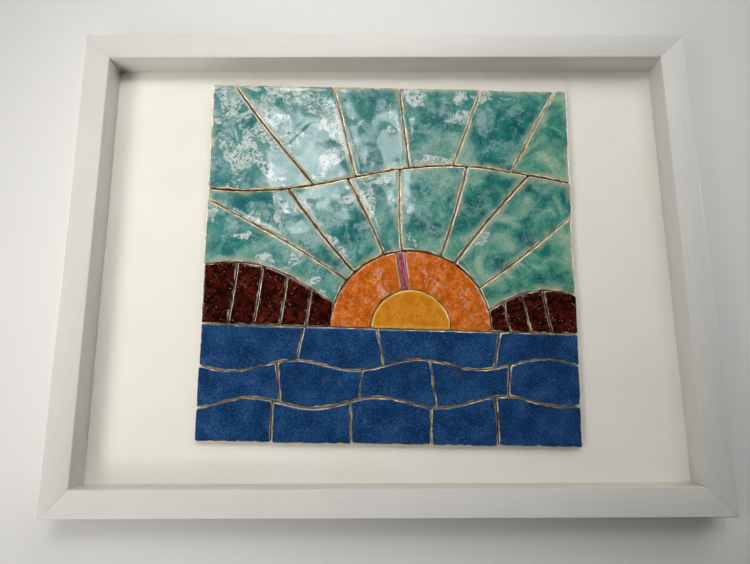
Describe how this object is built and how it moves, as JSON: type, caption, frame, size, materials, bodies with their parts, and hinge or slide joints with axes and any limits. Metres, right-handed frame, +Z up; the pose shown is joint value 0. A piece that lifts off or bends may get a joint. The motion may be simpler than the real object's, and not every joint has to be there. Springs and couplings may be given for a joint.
{
  "type": "framed ceramic mosaic panel",
  "caption": "Wall panel: hand-cut glazed ceramic tiles with open joints, making a plain sun-and-sea picture, fixed on a pale card inside a deep white box frame.",
  "frame": {"origin": "middle of the flat rear face of the frame's top rail, which lies on the wall", "axes": "+Z up, +Y towards the wall, so the picture faces -Y; +X to the right as one looks at the picture"},
  "size_m": [0.425, 0.025, 0.325],
  "materials": {
    "frame_lacquer": "satin",
    "mount_card": "matte",
    "back_board": "matte",
    "turquoise_glaze": "gloss",
    "cobalt_glaze": "gloss",
    "oxblood_glaze": "gloss",
    "orange_glaze": "gloss",
    "ochre_glaze": "gloss",
    "raspberry_glaze": "gloss"
  },
  "bodies": {
    "root": {"back_panel": "back_board", "glow_tile_01": "orange_glaze", "glow_tile_02": "orange_glaze", "hill_tile_01": "oxblood_glaze", "hill_tile_02": "oxblood_glaze", "hill_tile_03": "oxblood_glaze", "hill_tile_04": "oxblood_glaze", "hill_tile_05": "oxblood_glaze", "hill_tile_06": "oxblood_glaze", "hill_tile_07": "oxblood_glaze", "hill_tile_08": "oxblood_glaze", "hill_tile_09": "oxblood_glaze", "mount_card": "mount_card", "rail_bottom": "frame_lacquer", "rail_left": "frame_lacquer", "rail_right": "frame_lacquer", "rail_top": "frame_lacquer", "sea_tile_01": "cobalt_glaze", "sea_tile_02": "cobalt_glaze", "sea_tile_03": "cobalt_glaze", "sea_tile_04": "cobalt_glaze", "sea_tile_05": "cobalt_glaze", "sea_tile_06": "cobalt_glaze", "sea_tile_07": "cobalt_glaze", "sea_tile_08": "cobalt_glaze", "sea_tile_09": "cobalt_glaze", "sea_tile_10": "cobalt_glaze", "sea_tile_11": "cobalt_glaze", "sea_tile_12": "cobalt_glaze", "sea_tile_13": "cobalt_glaze", "sea_tile_14": "cobalt_glaze", "sky_tile_01": "turquoise_glaze", "sky_tile_02": "turquoise_glaze", "sky_tile_03": "turquoise_glaze", "sky_tile_04": "turquoise_glaze", "sky_tile_05": "turquoise_glaze", "sky_tile_06": "turquoise_glaze", "sky_tile_07": "turquoise_glaze", "sky_tile_08": "turquoise_glaze", "sky_tile_09": "turquoise_glaze", "sky_tile_10": "turquoise_glaze", "sky_tile_11": "turquoise_glaze", "sky_tile_12": "turquoise_glaze", "sky_tile_13": "turquoise_glaze", "sky_tile_14": "turquoise_glaze", "sliver_tile": "raspberry_glaze", "sun_tile": "ochre_glaze"}
  },
  "joints": []
}
